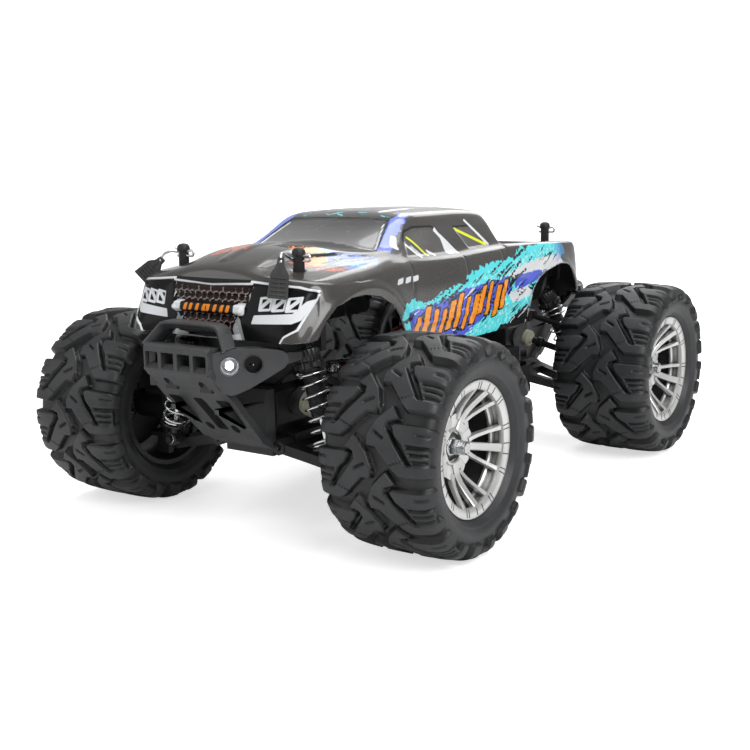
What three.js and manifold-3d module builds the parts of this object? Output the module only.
// Radio-controlled monster truck, 1:16 class. Millimetres, +Z up, front at -Y, left side at +X.
// The origin lies on the ground under the middle of the wheelbase.
import * as THREE from "three";
import { mergeVertices } from "three/addons/utils/BufferGeometryUtils.js";
import Module from "manifold-3d";

const wasm = await Module();
wasm.setup();

// ---------------------------------------------------------------- driving dimensions
// Points on the suspension are [x, z], drawn for the front left corner.
const TYRE_R = 44;
const TYRE_W = 51;
const HALF_TRACK = 81.5; // truck middle to tyre middle
const AXLE_Y = 98.5; // half the wheelbase
const RIM_R = 27.4; // outer lip of the rim
const BARREL_R = 25; // free radius inside the rim barrel
const LINK = [41, -10]; // every suspension link spans this far outboard and down
const linkEnd = ([x, z]) => [x + LINK[0], z + LINK[1]];
const ARM_IN = [17, 37.5]; // lower arm hinge
const SHAFT_IN = [23, 54]; // inner drive joint
const UPPER_IN = [23, 67.5]; // upper link hinge
const ARM_OUT = linkEnd(ARM_IN);
const UPPER_OUT = linkEnd(UPPER_IN);
const [KING_X, AXLE_Z] = linkEnd(SHAFT_IN); // kingpin, and wheel centre height
const WHEEL_AXIS = [0, AXLE_Z]; // y, z
const STEER_ARM = 14; // kingpin to tie-rod stud
const SHOCK_DY = 16; // axle line to the lower shock eye
// shock pivots; topDy is the axle line to the upper eye, and the rear shock leans forward
const FRONT_SHOCK = { top: [32, 84], low: [44.5, 34], topDy: 16 };
const REAR_SHOCK = { top: [27, 83], low: [46, 34], topDy: 5.5 };
// body posts: x, y from the axle (drawn as the front ones), top z
const FRONT_POST = { x: 31.4, y: -17.2, top: 119 };
const REAR_POST = { x: 31, y: -0.5, top: 116.6 };
const CENTRE_SHAFT_Z = 54;
const CENTRE_AXIS = [0, CENTRE_SHAFT_Z]; // x, z

// ---------------------------------------------------------------- helpers
const vec = (x, y, z) => new THREE.Vector3(x, y, z);
const across = ([x, z]) => [-x, z]; // the same place on the right side

// closed solid from a three.js geometry
function solid(geometry, matrix) {
  const loose = geometry.index ? geometry.toNonIndexed() : geometry.clone();
  loose.deleteAttribute("normal");
  loose.deleteAttribute("uv");
  if (matrix) loose.applyMatrix4(matrix);
  const merged = mergeVertices(loose, 1e-4);
  return new wasm.Manifold(
    new wasm.Mesh({
      numProp: 3,
      vertProperties: merged.attributes.position.array,
      triVerts: new Uint32Array(merged.index.array),
    }),
  );
}
function geometryOf(part) {
  const mesh = part.getMesh();
  const positions = new Float32Array(mesh.vertProperties);
  const geometry = new THREE.BufferGeometry();
  geometry.setAttribute("position", new THREE.BufferAttribute(positions, 3));
  geometry.setIndex(new THREE.BufferAttribute(new Uint32Array(mesh.triVerts), 1));
  geometry.computeVertexNormals();
  return geometry;
}
const add = (...parts) => parts.reduce((sum, part) => sum.add(part));
const cut = (part, ...tools) => tools.reduce((rest, tool) => rest.subtract(tool), part);

// copy with x and y scaled by a sign, moved along y, its faces turned round on request
function remade(part, signX, signY, shiftY, turnFaces) {
  const mesh = part.getMesh();
  const points = new Float32Array(mesh.vertProperties);
  for (let i = 0; i < points.length; i += 3) {
    points[i] *= signX;
    points[i + 1] = points[i + 1] * signY + shiftY;
  }
  const tris = new Uint32Array(mesh.triVerts);
  if (turnFaces) {
    for (let i = 0; i < tris.length; i += 3) {
      [tris[i + 1], tris[i + 2]] = [tris[i + 2], tris[i + 1]];
    }
  }
  return new wasm.Manifold(
    new wasm.Mesh({ numProp: 3, vertProperties: points, triVerts: tris }),
  );
}
// copy reflected in x and/or y, then moved along y
const mirrored = (part, flipX, flipY, shiftY = 0) =>
  remade(part, flipX ? -1 : 1, flipY ? -1 : 1, shiftY, flipX !== flipY);
// the same solid with its faces pointing outwards
const outward = (part) => (part.volume() < 0 ? remade(part, 1, 1, 0, true) : part);

// box between two corners
function box(x0, x1, y0, y1, z0, z1) {
  const geometry = new THREE.BoxGeometry(x1 - x0, y1 - y0, z1 - z0);
  return solid(geometry.translate((x0 + x1) / 2, (y0 + y1) / 2, (z0 + z1) / 2));
}
// matrix that takes the origin to a place and turns +Y to a direction
function aimed(place, direction) {
  const unit = direction.clone().normalize();
  const turn = new THREE.Quaternion().setFromUnitVectors(vec(0, 1, 0), unit);
  return new THREE.Matrix4().compose(place, turn, vec(1, 1, 1));
}
// bar between two points; it tapers when the end radius differs
function bar(from, to, radius, sides = 6, endRadius = radius) {
  const span = to.clone().sub(from);
  const geometry = new THREE.CylinderGeometry(endRadius, radius, span.length(), sides);
  return solid(geometry, aimed(from.clone().add(to).multiplyScalar(0.5), span));
}
// bars along one axis, placed by their other two coordinates
const barX = (x0, x1, [y, z], radius, sides) =>
  bar(vec(x0, y, z), vec(x1, y, z), radius, sides);
const barY = (y0, y1, [x, z], radius, sides) =>
  bar(vec(x, y0, z), vec(x, y1, z), radius, sides);
const barZ = (z0, z1, [x, y], radius, sides) =>
  bar(vec(x, y, z0), vec(x, y, z1), radius, sides);

const pathPoints = (points) => points.map(([across2d, up2d]) => new THREE.Vector2(across2d, up2d));
// closed outline from its half at positive x, the other half being its reflection
const symmetric = (half) => [...half, ...half.map(([x, other]) => [-x, other]).reverse()];
// outline pushed along an axis from lo to hi; points are x,y for "z", x,z for "y", y,z for "x"
function plate(points, axis, lo, hi) {
  const shape = new THREE.Shape(pathPoints(points));
  const geometry = new THREE.ExtrudeGeometry(shape, { depth: hi - lo, bevelEnabled: false });
  const matrix = new THREE.Matrix4();
  if (axis === "z") matrix.makeTranslation(0, 0, lo);
  // the "y" extrusion runs backwards from hi, to keep the outline unreflected
  if (axis === "y") matrix.set(1, 0, 0, 0, 0, 0, -1, hi, 0, 1, 0, 0, 0, 0, 0, 1);
  if (axis === "x") matrix.set(0, 0, 1, lo, 1, 0, 0, 0, 0, 1, 0, 0, 0, 0, 0, 1);
  return solid(geometry, matrix);
}

const root = new THREE.Group();
root.name = "rc_monster_truck";
const LOOK = {
  shell: { color: 0x77767a, roughness: 0.25, metalness: 0.1 },
  plastic: { color: 0x2a2b2c, roughness: 0.65, metalness: 0 },
  rubber: { color: 0x1f1f20, roughness: 0.85, metalness: 0 },
  satin: { color: 0xb4b6b8, roughness: 0.35, metalness: 0.8 },
  steel: { color: 0x9a9c9e, roughness: 0.3, metalness: 1 },
  spring: { color: 0xc4c6c8, roughness: 0.25, metalness: 1 },
  nylon: { color: 0x3a3b3c, roughness: 0.5, metalness: 0 },
  motor: { color: 0xa8aaac, roughness: 0.35, metalness: 1 },
  battery: { color: 0x1d4f86, roughness: 0.5, metalness: 0 },
  brass: { color: 0xb08d4a, roughness: 0.35, metalness: 1 },
};
function piece(name, part, look) {
  const mesh = new THREE.Mesh(geometryOf(part), new THREE.MeshStandardMaterial(LOOK[look]));
  mesh.name = name;
  root.add(mesh);
}
// Corner pieces are drawn as the front left one, with y counted from its axle
// and the shock ahead of it.
const FRONT = [
  { tag: "fl", flipX: false, flipY: false, axleY: -AXLE_Y },
  { tag: "fr", flipX: true, flipY: false, axleY: -AXLE_Y },
];
const REAR = [
  { tag: "rl", flipX: false, flipY: true, axleY: AXLE_Y },
  { tag: "rr", flipX: true, flipY: true, axleY: AXLE_Y },
];
function corner(name, part, look, places = [...FRONT, ...REAR]) {
  for (const { tag, flipX, flipY, axleY } of places) {
    piece(`${name}_${tag}`, mirrored(part, flipX, flipY, axleY), look);
  }
}
// pieces on the truck's middle plane, drawn as the front one with y counted from the axle
const atFrontAxle = (part) => mirrored(part, false, false, -AXLE_Y);
const atRearAxle = (part) => mirrored(part, false, true, AXLE_Y);

// ---------------------------------------------------------------- wheels
const WINDOWS = 6; // openings in the wheel disc
const WHEEL_SIDES = 20;
const BARREL_OUTER_R = 26.4;
const STUB_R = 2.4;

// closed profile [radius, x from the tyre middle] turned about the wheel axis
function turned(profile) {
  const geometry = new THREE.LatheGeometry(pathPoints(profile), WHEEL_SIDES);
  return outward(solid(geometry, aimed(vec(HALF_TRACK, 0, AXLE_Z), vec(1, 0, 0))));
}

// tyre: a ring open towards the rim, so the air space is not sealed
const TYRE_PROFILE = [
  [27.9, -20.2], [28.4, -17], [39, -19], [39, 19], [28.4, 17],
  [27.9, 20.2], [31, 23.6], [36.9, TYRE_W / 2], [41.4, 24], [TYRE_R, 17],
  [TYRE_R, -17], [41.4, -24], [36.9, -TYRE_W / 2], [31, -23.6], [27.9, -20.2],
];
corner("tyre", turned(TYRE_PROFILE), "rubber");

// rim: a barrel with two lips and a dished disc with a bore for the axle
const RIM_PROFILE = [
  [BARREL_R, -20.7], [BARREL_R, 13.6], [10, 6], [2.9, 6], [2.9, 12.2], [10, 12.2],
  [BARREL_R, 18.6], [RIM_R, 20.7], [BARREL_OUTER_R, 15], [BARREL_OUTER_R, -15],
  [RIM_R, -20.7], [BARREL_R, -20.7],
];
const WINDOW = [[11.4, -4], [22, -9], [22, 9], [11.4, 4]]; // [radius, sideways]
function rim() {
  let wheel = turned(RIM_PROFILE);
  for (let i = 0; i < WINDOWS; i++) {
    const angle = ((i + 0.5) / WINDOWS) * Math.PI * 2;
    const cos = Math.cos(angle);
    const sin = Math.sin(angle);
    const outline = WINDOW.map(([radius, side]) => [
      radius * cos - side * sin,
      AXLE_Z + radius * sin + side * cos,
    ]);
    wheel = wheel.subtract(plate(outline, "x", HALF_TRACK + 3, HALF_TRACK + 24));
  }
  return wheel;
}
corner("rim", rim(), "satin");

function stubAxle() {
  const body = add(
    barX(62.4, 68.6, WHEEL_AXIS, 4.8, 8), // drive cup
    barX(68.4, 98.4, WHEEL_AXIS, STUB_R),
    barX(79.2, 87, WHEEL_AXIS, 6), // wheel hexagon
  );
  return cut(body, barX(61, 67.3, WHEEL_AXIS, 3.45, 8));
}
corner("axle", stubAxle(), "steel");

// ---------------------------------------------------------------- suspension links
const LINK_LEN = Math.hypot(...LINK);
const LINK_SLOPE = Math.atan2(LINK[1], LINK[0]);
const ARM_T = 4.4; // lower arm thickness
const ARM_HALF = 17; // half width at the hinge
const ARM_TIP = 5.8; // half width at the outer end
const HINGE_GAP = 9.4; // half the gap between the two hinge barrels
// lower arm in its own plane: [distance along the link, y]
const ARM_OUTLINE = [
  [0, -ARM_HALF], [14, -14], [24, -12.3], [30.4, -12.3], [35.6, -ARM_TIP], [LINK_LEN, -ARM_TIP],
  [LINK_LEN, ARM_TIP], [35.6, ARM_TIP], [0, ARM_HALF],
  [0, HINGE_GAP], [4.2, HINGE_GAP], [4.2, -HINGE_GAP], [0, -HINGE_GAP],
];
const ARM_WINDOW = [[8, -9], [26, -5.5], [26, 5.5], [8, 9]];

function lowerArm([eyeX, eyeZ]) {
  const shape = new THREE.Shape(pathPoints(ARM_OUTLINE));
  shape.holes.push(new THREE.Path(pathPoints(ARM_WINDOW)));
  const slab = new THREE.ExtrudeGeometry(shape, { depth: ARM_T, bevelEnabled: false });
  slab.translate(0, 0, -ARM_T / 2);
  const tilt = new THREE.Matrix4()
    .makeTranslation(ARM_IN[0], 0, ARM_IN[1])
    .multiply(new THREE.Matrix4().makeRotationY(-LINK_SLOPE));
  const arm = cut(
    add(
      solid(slab, tilt),
      barY(-ARM_HALF, -HINGE_GAP, ARM_IN, 3.4),
      barY(HINGE_GAP, ARM_HALF, ARM_IN, 3.4),
      barY(-ARM_TIP, ARM_TIP, ARM_OUT, 3.2),
    ),
    barY(-18, 18, ARM_IN, 1.5),
    barY(-18, 18, ARM_OUT, 1.5),
  );
  // raised lug and pin for the shock
  const lugBase = ARM_IN[1] + ((eyeX - ARM_IN[0]) * LINK[1]) / LINK[0];
  return add(
    arm,
    box(eyeX - 3, eyeX + 3, -12.3, -9, lugBase - 1.5, eyeZ + 2.2),
    barY(-19.4, -11, [eyeX, eyeZ], 1.3),
  );
}
corner("lower_arm", lowerArm(FRONT_SHOCK.low), "plastic", FRONT);
corner("lower_arm", lowerArm(REAR_SHOCK.low), "plastic", REAR);

// upper link: two rings and a rod
function upperLink() {
  const ends = [UPPER_IN, UPPER_OUT];
  const [inner, outer] = ends.map(([x, z]) => vec(x, 0, z));
  const body = add(bar(inner, outer, 1.7), ...ends.map((end) => barY(-2, 2, end, 3.3, 8)));
  return cut(body, ...ends.map((end) => barY(-3, 3, end, 1.7)));
}
corner("upper_link", upperLink(), "plastic");

function driveshaft() {
  const inner = vec(SHAFT_IN[0], 0, SHAFT_IN[1]);
  const outer = vec(KING_X, 0, AXLE_Z);
  const outboard = vec(LINK[0], 0, LINK[1]).normalize();
  const along = (start, distance) => start.clone().addScaledVector(outboard, distance);
  return add(
    bar(along(inner, -4.4), along(inner, 7), 5, 8), // inner joint housing
    bar(along(inner, 6.5), along(inner, 11), 3.6, 8, 2.4), // tapered neck
    bar(inner, along(outer, -1), 1.9),
    solid(new THREE.SphereGeometry(2.7, 8, 6).translate(KING_X, 0, AXLE_Z)), // outer ball
  );
}
corner("driveshaft", driveshaft(), "steel");

// ---------------------------------------------------------------- uprights
// feet on both sides of the lower arm's end, and the pin through it
const carrierFeet = add(
  box(54.4, 61.4, 6.3, 9.2, 24.2, 33.6),
  box(54.4, 61.4, -9.2, -6.3, 24.2, 33.6),
  barY(-8, 8, ARM_OUT, 1.2),
);
// lug and pin for the upper link
const topLug = add(
  box(61.4, 66.6, 2.5, 5.4, 51.3, 60.6),
  barY(-2.2, 4, UPPER_OUT, 1.3),
);
const bearingBarrel = barX(60, 78.4, WHEEL_AXIS, 6.9, 10);
// wide bore for the drive cup, narrow bore for the axle
const bearingBores = [
  barX(56, 69.4, WHEEL_AXIS, 5.35, 8),
  barX(69, 80, WHEEL_AXIS, 2.8, 8),
];

// front carrier: a C that holds the kingpins
const frontCarrier = add(
  carrierFeet,
  box(55.6, 67.4, -9.2, 9.2, 31.4, 33.4), // lower shelf
  box(54.2, 57, 6.9, 9.8, 31.2, 53.8), // two posts
  box(54.2, 57, -9.8, -6.9, 31.2, 53.8),
  box(54.2, 67.4, -9.8, 9.8, 51.3, 53.8), // upper shelf
  topLug,
  barZ(33, 36.4, [KING_X, 0], 1.4), // kingpins
  barZ(49.4, 52, [KING_X, 0], 1.4),
);
corner("c_hub", frontCarrier, "nylon", FRONT);

const knuckle = cut(
  add(
    bearingBarrel,
    barZ(33.8, 42, [KING_X, 0], 3.6), // lower kingpin boss
    box(61.6, 66.4, 4, STEER_ARM + 2.2, 46.8, 50), // steering arm
    barZ(49, 59.6, [KING_X, STEER_ARM], 1.2), // tie-rod stud
  ),
  ...bearingBores,
  barZ(33, 37, [KING_X, 0], 1.75),
  barZ(48.9, 52, [KING_X, 0], 1.75),
);
corner("knuckle", knuckle, "nylon", FRONT);

// rear hub: the same barrel held square between the links
const rearHub = cut(
  add(
    bearingBarrel,
    carrierFeet,
    box(58, 66.4, -9.2, 9.2, 31.2, 41),
    box(61.4, 66.4, -5.4, 5.4, 48, 52.4),
    topLug,
  ),
  ...bearingBores,
);
corner("rear_hub", rearHub, "nylon", REAR);

// ---------------------------------------------------------------- steering linkage
const STEER_Y = -AXLE_Y + STEER_ARM; // line of the sliding steering link
const SAVER_X = -13; // steering saver axis
const SAVER_Y = STEER_Y + STEER_ARM;
const SAVER_AXIS = [SAVER_X, SAVER_Y];
const SERVO_HALF = 6; // half width of the servo

// tie rod, parallel to the upper link
function tieRod() {
  const [inner, outer] = [UPPER_IN, UPPER_OUT].map(([x, z]) => vec(x, STEER_ARM, z));
  const ring = ({ x, y, z }) => barZ(z - 1.5, z + 1.5, [x, y], 3.5, 8);
  return cut(
    add(bar(inner, outer, 1.3), ring(inner), ring(outer)),
    barZ(60, 75, [inner.x, STEER_ARM], 2.45),
    barZ(50, 65, [outer.x, STEER_ARM], 2.55),
  );
}
corner("tie_rod", tieRod(), "steel", FRONT);

// sliding bar with a stud for each tie rod and a slot for the saver's pin
const steeringLink = cut(
  add(
    box(-25, 25, STEER_Y - 3, STEER_Y + 3.6, 62.6, 65),
    barZ(64, 69.8, [-UPPER_IN[0], STEER_Y], 1.5),
    barZ(64, 69.8, [UPPER_IN[0], STEER_Y], 1.5),
  ),
  box(SAVER_X - 1.75, SAVER_X + 1.75, STEER_Y - 5, STEER_Y + 2.5, 60, 68),
);
piece("steering_link", steeringLink, "plastic");

const servoSaver = add(
  barZ(62, 66.6, SAVER_AXIS, 4.6, 8),
  box(SAVER_X - 2, SAVER_X + 2, STEER_Y + 5, SAVER_Y, 66.2, 68.4), // arm
  box(SAVER_X - 1.6, SAVER_X + 1.6, STEER_Y - 1.4, STEER_Y + 6, 66.2, 68.4),
  barZ(63.4, 67, [SAVER_X, STEER_Y], 1.3), // pin in the link's slot
);
piece("servo_saver", servoSaver, "plastic");

const SERVO_X = [SAVER_X - SERVO_HALF, SAVER_X + SERVO_HALF];
const steeringServo = add(
  box(...SERVO_X, SAVER_Y - 6, SAVER_Y + 17, 37.4, 58.6), // case
  box(...SERVO_X, SAVER_Y - 10.4, SAVER_Y + 21.4, 53, 55), // mounting ears
  barZ(58, 61.6, SAVER_AXIS, 3, 8), // output boss
);
piece("steering_servo", steeringServo, "plastic");

// ---------------------------------------------------------------- shocks
const COLLAR_R = 6.6; // collar at each end of the spring
const COIL = { radius: 5.5, wire: 0.6, turns: 7.5, stepsPerTurn: 7, wireSides: 3 };

function coil(from, to) {
  const { radius, wire, turns, stepsPerTurn, wireSides } = COIL;
  const span = to.clone().sub(from);
  const length = span.length();
  const steps = Math.round(turns * stepsPerTurn);
  const helix = [];
  for (let i = 0; i <= steps; i++) {
    const angle = (i / steps) * turns * Math.PI * 2;
    helix.push(vec(radius * Math.cos(angle), (i / steps) * length, radius * Math.sin(angle)));
  }
  const section = Array.from({ length: wireSides }, (_, i) => {
    const angle = (i / wireSides) * Math.PI * 2;
    return [wire * Math.cos(angle), wire * Math.sin(angle)];
  });
  const geometry = new THREE.ExtrudeGeometry(new THREE.Shape(pathPoints(section)), {
    steps,
    extrudePath: new THREE.CatmullRomCurve3(helix),
    bevelEnabled: false,
  });
  return outward(solid(geometry, aimed(from.clone(), span)));
}
// body, rod and spring; distances run from the upper eye to the lower one
function shock({ top, low, topDy }, places) {
  const upperEye = vec(top[0], -topDy, top[1]);
  const lowerEye = vec(low[0], -SHOCK_DY, low[1]);
  const direction = lowerEye.clone().sub(upperEye).normalize();
  const length = lowerEye.distanceTo(upperEye);
  const section = (start, end, radius, sides) => {
    const [from, to] = [start, end].map((distance) =>
      upperEye.clone().addScaledVector(direction, distance),
    );
    return bar(from, to, radius, sides);
  };
  const body = cut(
    add(
      barY(-topDy - 2.4, -topDy + 2.4, top, 3.4, 8), // eye
      section(2.2, 9, 5.4, 8), // cap
      section(8.6, 12, COLLAR_R, 8),
      section(11.6, length * 0.56, 4.2, 8), // barrel
    ),
    barY(-topDy - 4, -topDy + 4, top, 1.7),
    section(16, length * 0.6, 2.3),
  );
  corner("shock_body", body, "plastic", places);
  const rod = cut(
    add(
      barY(-SHOCK_DY - 2.2, -SHOCK_DY + 2.2, low, 3.5, 8), // eye
      section(length - 6.6, length - 2.6, 2.4),
      section(length - 8.2, length - 6.2, COLLAR_R, 8),
      section(21.4, length - 6, 1.5),
    ),
    barY(-SHOCK_DY - 4, -SHOCK_DY + 4, low, 2.1),
  );
  corner("shock_rod", rod, "steel", places);
  const at = (distance) => upperEye.clone().addScaledVector(direction, distance);
  corner("spring", coil(at(12.9), at(length - 9.1)), "spring", places);
}
shock(FRONT_SHOCK, FRONT);
shock(REAR_SHOCK, REAR);

// ---------------------------------------------------------------- gearboxes
const HINGE_PIN_R = 1.2;
const UPPER_PIN_R = 1.3;
const CASE_HALF = symmetric([[12, 41.8], [14, 46], [14, 60], [10.5, 62]]); // x, z
const gearbox = add(
  plate(CASE_HALF, "y", -13, 12.4),
  box(-20.2, 20.2, -8.6, 8.6, 36.6, 42.4), // block between the arm hinges
  barY(-18.2, 18.2, ARM_IN, HINGE_PIN_R),
  barY(-18.2, 18.2, across(ARM_IN), HINGE_PIN_R),
  barX(-15, 15, [0, SHAFT_IN[1]], 6, 8), // differential outputs
  box(-10, 10, -4.8, 6.4, 61, 70.4),
  box(-25.5, 25.5, 3, 6.4, 64.6, 70.4), // cross plate for the upper links
  barY(-2.3, 4, UPPER_IN, UPPER_PIN_R),
  barY(-2.3, 4, across(UPPER_IN), UPPER_PIN_R),
);
piece("front_gearbox", atFrontAxle(gearbox), "plastic");
piece("rear_gearbox", atRearAxle(gearbox), "plastic");

// ---------------------------------------------------------------- shock towers with body posts
const SEAT_Z = 92.6; // top of the ledge that carries a post
const SEAT_HALF = 3.4;
const BODY_POST_R = 2.3;

function tower(shockSpec, post, footZ, plateY0, plateY1) {
  const { top: [shockX, shockZ], topDy } = shockSpec;
  const outline = symmetric([
    [9.5, footZ], [shockX - 7, shockZ - 9], [shockX + 3, shockZ - 5],
    [post.x + SEAT_HALF, SEAT_Z], [post.x - 6, SEAT_Z], [9, shockZ - 2],
  ]);
  let frame = plate(outline, "y", plateY0, plateY1);
  for (const side of [-1, 1]) {
    const postX = side * post.x;
    const ledge = [postX - SEAT_HALF, postX + SEAT_HALF, post.y - SEAT_HALF, plateY1];
    frame = add(
      frame,
      barY(-topDy - 3.2, plateY0 + 1, [side * shockX, shockZ], 1.35), // shock pin
      box(...ledge, SEAT_Z - 3.2, SEAT_Z),
      barZ(SEAT_Z - 2, post.top, [postX, post.y], BODY_POST_R),
    );
    // cross hole near the top of the post
    frame = frame.subtract(barX(postX - 4, postX + 4, [post.y, post.top - 3], 0.8));
  }
  return frame;
}
const frontTower = tower(FRONT_SHOCK, FRONT_POST, 62.4, -8.8, -5.4);
const rearTower = tower(REAR_SHOCK, REAR_POST, 70.8, 0.4, 3.8);
piece("front_shock_tower", atFrontAxle(frontTower), "plastic");
piece("rear_shock_tower", atRearAxle(rearTower), "plastic");

// ---------------------------------------------------------------- chassis tub
const FLOOR_Z = 33; // underside of the chassis
const WALL_T = 1.9; // wall thickness, measured along x
const STAND_BOTTOM_Z = 35.5; // walls and stands start just inside the floor
const STAND_YS = [-58, 12, 70]; // bearing stands of the centre shaft
// left half of the floor: x, y
const FLOOR_HALF = [
  [13, -114], [13, -80.4], [20, -79], [24, -58], [42, -34],
  [42, 62], [36, 72], [13, 80], [13, 114],
];
// inner line of the left wall: x, y
const WALL_LINE = [[22, -57], [39.9, -33.4], [40, 61.4], [35, 70], [14, 78]];

function chassisTub() {
  const wallOutline = [...WALL_LINE.map(([x, y]) => [x + WALL_T, y]), ...[...WALL_LINE].reverse()];
  const wall = plate(wallOutline, "z", STAND_BOTTOM_Z, 47);
  return cut(
    add(
      plate(symmetric(FLOOR_HALF), "z", FLOOR_Z, 36.2),
      wall,
      mirrored(wall, true, false),
      ...STAND_YS.map((y) => box(-4, 4, y - 2, y + 2, STAND_BOTTOM_Z, 58)),
    ),
    ...STAND_YS.map((y) => barY(y - 3, y + 3, CENTRE_AXIS, 2.9, 8)),
  );
}
piece("chassis_tub", chassisTub(), "plastic");

// ---------------------------------------------------------------- drive line
const MODULE = 0.6; // gear module
const SPUR_TEETH = 48;
const PINION_TEETH = 12;
const SPUR_Y = 29; // middle of both gears
const MOTOR_X = -(MODULE * (SPUR_TEETH + PINION_TEETH)) / 2; // where the gears mesh
const MOTOR_AXIS = [MOTOR_X, CENTRE_SHAFT_Z];

const centreShaft = add(
  barY(-84.6, 84.6, CENTRE_AXIS, 2.5),
  barY(-80, -74, CENTRE_AXIS, 4.6, 8), // a collar near each end
  barY(74, 80, CENTRE_AXIS, 4.6, 8),
);
piece("centre_shaft", centreShaft, "steel");

// toothed disc about an axis along y; phase turns the first tooth from +X
function toothedDisc(teeth, halfWidth, [x, z], phase) {
  const pitchRadius = (MODULE * teeth) / 2;
  const root = pitchRadius - 1.25 * MODULE;
  const tip = pitchRadius + 0.86 * MODULE;
  const pitch = (Math.PI * 2) / teeth;
  // one tooth: [radius, part of a pitch from its middle]
  const tooth = [[root, -0.33], [tip, -0.11], [tip, 0.11], [root, 0.33]];
  const outline = [];
  for (let i = 0; i < teeth; i++) {
    for (const [radius, offset] of tooth) {
      const angle = i * pitch + phase + offset * pitch;
      outline.push([x + radius * Math.cos(angle), z + radius * Math.sin(angle)]);
    }
  }
  return plate(outline, "y", SPUR_Y - halfWidth, SPUR_Y + halfWidth);
}
const gearBore = (axis, radius) => barY(SPUR_Y - 22.5, SPUR_Y + 22.5, axis, radius);

const spurGear = cut(
  add(
    toothedDisc(SPUR_TEETH, 2.5, CENTRE_AXIS, 0),
    barY(SPUR_Y - 4.6, SPUR_Y + 4.6, CENTRE_AXIS, 5, 8), // hub
  ),
  gearBore(CENTRE_AXIS, 2.8),
);
piece("spur_gear", spurGear, "nylon");

const pinionGear = cut(
  toothedDisc(PINION_TEETH, 3, MOTOR_AXIS, Math.PI / PINION_TEETH),
  gearBore(MOTOR_AXIS, 1.25),
);
piece("pinion_gear", pinionGear, "brass");

const motor = add(
  barY(SPUR_Y + 9, SPUR_Y + 42, MOTOR_AXIS, 13.6, 14), // can
  barY(SPUR_Y + 6, SPUR_Y + 9.2, MOTOR_AXIS, 5, 8), // front boss
  barY(SPUR_Y - 3.4, SPUR_Y + 7, MOTOR_AXIS, 1), // shaft
);
piece("motor", motor, "motor");
piece("battery", box(17, 37.6, -36, 60, 36.8, 57), "battery");

// ---------------------------------------------------------------- bumpers
// Drawn as the front one, with y counted from the truck middle.
const BUMP_Y = -156; // foremost plane
const HOOP_Z = 83.4; // foot of the hoop
// left halves of the outlines seen from the front: x, z
const FACE_HALF = [
  [18, 72.5], [20.6, 66.6], [24, 65.9], [34.4, 72.2], [38, 78], [36, 83.2], [22, 84.5],
];
const HOOP_HALF = [[22, HOOP_Z], [15.6, 93]];
const HOOP_HOLE_HALF = [[17.2, 85.2], [12.4, 90.2]];
// left halves of the outlines seen from above: x, y
const FACE_PLAN_HALF = [
  [15, BUMP_Y], [18, -152], [30, -143.5], [39, -132.5], [40, -126],
  [35.5, -127], [27.5, -139.5], [16.5, -147.6], [13.5, -150.8],
];
const HOOP_PLAN_HALF = [
  [15, BUMP_Y], [18, -152], [22.5, -148.8], [22.5, -141.5], [14, -148.4],
];
const SKID_PLAN_HALF = [[18, -157], [19, -145], [17, -118.8], [13.4, -117.8], [13.4, -111]];
// side views: y, z
const PANEL_SIDE = [
  [-155.6, 75.4], [-155.6, 74], [-151.6, 67.5], [-147.6, 66], [-150.8, 72], [-150.8, 75.4],
];
const SKID_SIDE = [
  [-155.2, 74], [-151.4, 67.5], [-145.6, 63.6], [-135.2, 53], [-124.6, 41], [-117, 37.2],
  [-111.9, 37.2], [-111.9, 62], [-116, 62], [-119, 58], [-119, 42.6], [-122.6, 43.6],
  [-132.6, 55.4], [-143.2, 66.2], [-150.6, 71], [-150.6, 74],
];
const FACE_OPENING_XS = [-13.2, -4.4, 4.4, 13.2];
const SKID_SLOTS = [[-12.8, 2], [0, 2.6], [12.8, 2]]; // middle x, half width

// face with a row of four openings, swept back at both ends
function bumperFace() {
  const face = cut(
    plate(symmetric(FACE_HALF), "y", BUMP_Y, BUMP_Y + 30),
    ...FACE_OPENING_XS.map((x) => box(x - 3.2, x + 3.2, BUMP_Y - 1, BUMP_Y + 31, 75.4, 81.8)),
  );
  return face.intersect(plate(symmetric(FACE_PLAN_HALF), "z", 55, 100));
}
// hoop on top of the face, leaning back as it rises
function bumperHoop() {
  const upright = plate(symmetric(HOOP_HALF), "y", BUMP_Y, BUMP_Y + 16)
    .subtract(plate(symmetric(HOOP_HOLE_HALF), "y", BUMP_Y - 1, BUMP_Y + 17))
    .intersect(plate(symmetric(HOOP_PLAN_HALF), "z", 80, 100));
  // shear: y grows by the height above the hoop's foot
  const lean = new THREE.Matrix4().set(1, 0, 0, 0, 0, 1, 1, -HOOP_Z, 0, 0, 1, 0, 0, 0, 0, 1);
  return solid(geometryOf(upright), lean);
}
// skid that runs down and back to the gearbox, with the stay at its rear end
function bumperSkid(slots) {
  return cut(
    plate(SKID_SIDE, "x", -19, 19).intersect(plate(symmetric(SKID_PLAN_HALF), "z", 30, 80)),
    ...slots.map(([x, half]) => box(x - half, x + half, -143.6, -129.6, 30, 66.6)),
  );
}
const bumper = (slots) =>
  add(bumperFace(), bumperHoop(), plate(PANEL_SIDE, "x", -18, 18), bumperSkid(slots));
piece("front_bumper", bumper(SKID_SLOTS), "plastic");
piece("rear_bumper", mirrored(bumper([]), false, true), "plastic");

// ---------------------------------------------------------------- body shell
const SHELL_T = 1.3;
const SHELL_BASE_Z = 70; // lowest edge of the skin before it is trimmed
const SILL_Z = 72;
const POST_HOLE_R = 2.75;
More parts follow.
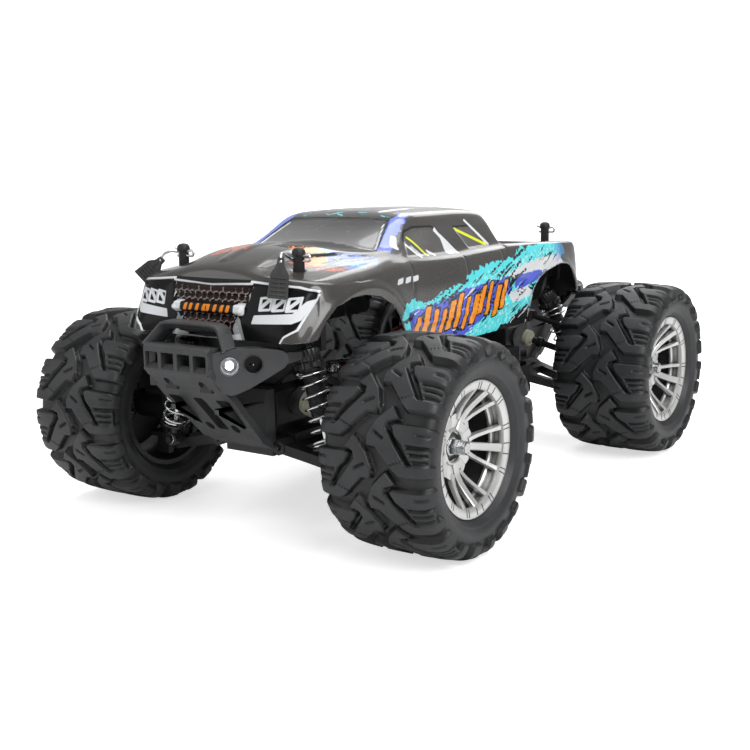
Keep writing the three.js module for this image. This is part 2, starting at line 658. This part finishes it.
// Points x, y, z. Each row is half a hoop, from the left lower edge up to the middle line;
// the rearmost row comes first.
const SHELL_ROWS = [
  [[43, 112.5, 70], [40, 112.5, 70], [36, 112.5, 70], [32, 112.5, 70], [28, 112.5, 70],
    [23, 112.5, 70], [17, 112.5, 70], [11, 112.5, 70], [5, 112.5, 70], [0, 112.5, 70]],
  [[45, 110.8, 70], [44.6, 111.2, 78], [43.6, 111.6, 86], [41.5, 111.8, 91], [38, 112, 92],
    [33, 112, 92], [26, 112, 92], [18, 112, 92], [9, 112, 92], [0, 112, 92]],
  [[45.6, 107.5, 70], [45.6, 108.5, 83], [45.2, 109, 95], [44, 108.8, 104], [41, 110.2, 105.6],
    [37, 110.6, 106], [29, 110.8, 106], [20, 111, 106], [10, 111, 106], [0, 111, 106]],
  [[46.2, 103, 70], [46.3, 103.5, 84], [46.3, 104, 96.5], [45.4, 104.4, 107.6], [42, 105.4, 108.6],
    [38.6, 106.6, 108.2], [30, 107, 108], [20, 107, 108], [10, 107, 108], [0, 107, 108]],
  [[46.8, 98, 70], [47, 98, 84], [47.2, 98, 97], [46, 98, 108.4], [42.4, 98, 109.3],
    [38, 101.6, 105.4], [30, 103.4, 105], [20, 103.6, 105], [10, 103.6, 105], [0, 103.6, 105]],
  [[48, 80, 70], [48.6, 80, 84], [49, 80, 98], [47, 80, 109.4], [43, 80, 110.4],
    [39.4, 80, 106], [30, 80, 105.4], [20, 80, 105.4], [10, 80, 105.4], [0, 80, 105.4]],
  [[48.6, 54, 70], [49.4, 54, 84], [49.6, 54, 98], [47.4, 54, 110.6], [43.4, 54, 111.6],
    [40, 54, 106.8], [31, 54, 106], [20, 54, 106], [10, 54, 106], [0, 54, 106]],
  [[48.8, 29, 70], [49.8, 29, 84], [49.8, 29, 98], [47.6, 29, 110.9], [44, 29, 112.6],
    [41, 29, 108.6], [32, 29, 106.6], [21, 29, 106.6], [10.5, 29, 106.6], [0, 29, 106.6]],
  [[48.8, 25, 70], [49.8, 25, 84], [49.8, 25, 98], [47.6, 25, 110.4], [43.6, 25.6, 112.5],
    [39.6, 26, 118.4], [36, 26.2, 124], [31.6, 26.6, 127.4], [17, 27, 128.8], [0, 27.2, 129.2]],
  [[48.8, 13, 70], [49.8, 13, 84], [49.9, 13, 98], [47.6, 13, 110.2], [43.4, 13.6, 112.4],
    [39.8, 13.8, 118.4], [36.2, 14, 124.2], [32, 14, 129.2], [17, 14, 130.7], [0, 14, 131.1]],
  [[48.8, -3, 70], [49.9, -3, 84], [50, -3, 98], [47.6, -3, 109.8], [43.4, -5, 112.3],
    [40, -2.6, 118.3], [36.4, -0.6, 124.2], [32.2, -3, 129.8], [17, -3, 131.2], [0, -3, 131.6]],
  [[48.8, -18, 70], [49.9, -18, 84], [50, -18, 98], [47.8, -18, 109.4], [44, -18, 111.8],
    [40.4, -17, 118.1], [36.6, -16, 124.4], [32.2, -18, 130], [17, -18, 131.4], [0, -18, 131.8]],
  [[48.8, -33, 70], [49.9, -33, 84], [50, -33, 98], [48, -34, 109.4], [44.6, -36, 112.2],
    [40.8, -34.4, 118], [37, -33, 123.8], [32.2, -33, 130.2], [17, -34, 131.2], [0, -35, 131.6]],
  [[48.8, -46, 70], [50, -46, 84], [50, -46, 98], [48.3, -48, 109.2], [45, -50, 112.8],
    [41.4, -46.6, 117.8], [37.6, -42.6, 122.6], [31.8, -41.8, 129.4], [17, -43.4, 129.8],
    [0, -44.6, 130]],
  [[48.6, -58, 70], [50, -58, 84], [50.2, -58, 98], [48.8, -59, 108.8], [45.2, -60, 113.4],
    [42.2, -58, 116.4], [39, -55.4, 118.8], [33.4, -55.6, 122], [18, -58.4, 123.2],
    [0, -60, 123.6]],
  [[48.4, -69, 70], [50, -69, 84], [50.6, -69, 97], [50, -69, 108.3], [45.4, -69, 113.6],
    [42.4, -68.4, 114.8], [39, -68, 115.6], [34.4, -68.6, 116], [19, -74, 116.4],
    [0, -76.6, 117]],
  [[48.4, -84, 70], [50, -84, 84], [51.4, -84, 98], [50.6, -84, 107.6], [45.6, -84, 112],
    [40, -84.4, 112.8], [34, -85.6, 113.8], [27, -87.4, 115.8], [15, -90, 119.8],
    [0, -92, 120.8]],
  [[48.4, -102, 70], [50, -102, 85], [52, -102, 101], [50.8, -103, 107], [46, -103.4, 110.4],
    [41, -104, 111.3], [34.4, -104, 112.6], [26.6, -104.4, 114.9], [15, -105, 119.4],
    [0, -106, 120.4]],
  [[49, -116, 70], [50.4, -116, 86], [51.4, -116, 100], [49.6, -116, 106.8], [46, -116.4, 109.2],
    [40.4, -117, 110.2], [33.4, -118, 111.5], [25.4, -119, 113.3], [14.4, -120, 116.8],
    [0, -121, 117.3]],
  [[49.6, -124.4, 70], [50, -124, 84], [49.6, -123.6, 97], [47.6, -122.6, 106],
    [45.4, -123.4, 108.4], [40.4, -125.2, 109.4], [33, -127, 110.3], [24.4, -128.8, 111.4],
    [13.4, -130, 112.9], [0, -130.6, 113.4]],
  [[49.6, -128, 70], [49.6, -127.4, 81], [48.8, -126.8, 92], [46.8, -125.6, 101],
    [44.6, -127.2, 104.4], [39.6, -129, 105.8], [32.6, -130.6, 107], [24, -132, 108],
    [13, -132.8, 108.6], [0, -133.2, 108.8]],
  [[48.6, -131, 70], [48.4, -130.6, 78], [47.4, -130.4, 86], [45.2, -131, 93],
    [42.6, -132.4, 96], [38.6, -133.6, 97], [32, -134.6, 97.6], [24, -135.4, 98],
    [13, -136, 98], [0, -136.2, 98]],
  [[46, -135.4, 70], [45, -135.6, 75], [43.6, -136, 80], [41.6, -136.4, 84.4],
    [39, -136.6, 86.4], [35.6, -136.8, 87], [30, -137, 87.4], [23, -137.2, 87.6],
    [12, -137.4, 87.6], [0, -137.4, 87.6]],
  [[43, -137.4, 70], [41, -137.4, 70], [39, -137.6, 70], [36, -137.6, 70], [33, -137.8, 70],
    [30, -137.8, 70], [24, -138, 70], [16, -138, 70], [8, -138, 70], [0, -138, 70]],
];
// everything below this side outline (y, z) is cut away, from the front end to the rear corner
const SHELL_LOWER = [
  [-150, 60], [-150, 86], [-137, 86], [-129.6, 86.8],
  // front wheel opening
  [-128, 87.1], [-124, 93.6], [-118.6, 98.9], [-109, 101.4], [-99.1, 101.7], [-88, 99.8],
  [-77.8, 95], [-72, 89.4], [-68.1, 83.1], [-65.4, 77], [-64, SILL_Z],
  // rear wheel opening
  [43.4, SILL_Z], [47.3, 80.2], [50.3, 88.8], [57, 93.6], [65.7, 96.3], [81.6, 98.7],
  [92, 97.6], [98.9, 95], [112, 80.5], [125, 80.5], [125, 60],
];

// sum of the unit normals of the grid cells that meet at point (i, j), made unit length
function gridNormal(grid, i, j) {
  const normal = vec(0, 0, 0);
  for (const [row, col] of [[i, j], [i - 1, j], [i, j - 1], [i - 1, j - 1]]) {
    if (row < 0 || col < 0 || row >= grid.length - 1 || col >= grid[0].length - 1) continue;
    const diagonal = grid[row + 1][col + 1].clone().sub(grid[row][col]);
    const crossing = grid[row + 1][col].clone().sub(grid[row][col + 1]);
    const cell = diagonal.cross(crossing);
    if (cell.length() > 1e-9) normal.add(cell.normalize());
  }
  return normal.normalize();
}
// closed skin of the given thickness inside the full hoops
function skin(rows, thickness) {
  const outer = rows.map((row) => [
    ...row.map((point) => vec(...point)),
    ...row.slice(0, -1).reverse().map(([x, y, z]) => vec(-x, y, z)),
  ]);
  const inner = outer.map((row, i) =>
    row.map((point, j) => {
      const pushed = point.clone().addScaledVector(gridNormal(outer, i, j), -thickness);
      if (point.z <= SHELL_BASE_Z + 0.01) pushed.z = SHELL_BASE_Z;
      return pushed;
    }),
  );
  const lastRow = outer.length - 1;
  const lastCol = outer[0].length - 1;
  const positions = [...outer, ...inner].flat().flatMap(({ x, y, z }) => [x, y, z]);
  const outerId = (i, j) => i * outer[0].length + j;
  const innerId = (i, j) => outerId(i + outer.length, j);
  const tris = [];
  const quad = (p0, p1, p2, p3) => tris.push(p0, p1, p2, p0, p2, p3);
  for (let i = 0; i < lastRow; i++) {
    for (let j = 0; j < lastCol; j++) {
      quad(outerId(i, j), outerId(i, j + 1), outerId(i + 1, j + 1), outerId(i + 1, j));
      quad(innerId(i, j), innerId(i + 1, j), innerId(i + 1, j + 1), innerId(i, j + 1));
    }
  }
  // edge between the two skins
  const loop = [];
  for (let j = 0; j < lastCol; j++) loop.push([0, j]);
  for (let i = 0; i < lastRow; i++) loop.push([i, lastCol]);
  for (let j = lastCol; j > 0; j--) loop.push([lastRow, j]);
  for (let i = lastRow; i > 0; i--) loop.push([i, 0]);
  loop.forEach((here, k) => {
    const next = loop[(k + 1) % loop.length];
    quad(outerId(...next), outerId(...here), innerId(...here), innerId(...next));
  });
  const geometry = new THREE.BufferGeometry();
  geometry.setAttribute("position", new THREE.BufferAttribute(new Float32Array(positions), 3));
  geometry.setIndex(tris);
  return outward(solid(geometry));
}
function bodyShell() {
  const postHoles = [-1, 1].flatMap((side) => [
    barZ(95, 125, [side * FRONT_POST.x, -AXLE_Y + FRONT_POST.y], POST_HOLE_R),
    barZ(95, 125, [side * REAR_POST.x, AXLE_Y - REAR_POST.y], POST_HOLE_R),
  ]);
  return cut(skin(SHELL_ROWS, SHELL_T), plate(SHELL_LOWER, "x", -70, 70), ...postHoles);
}
piece("body_shell", bodyShell(), "shell");

export default root;
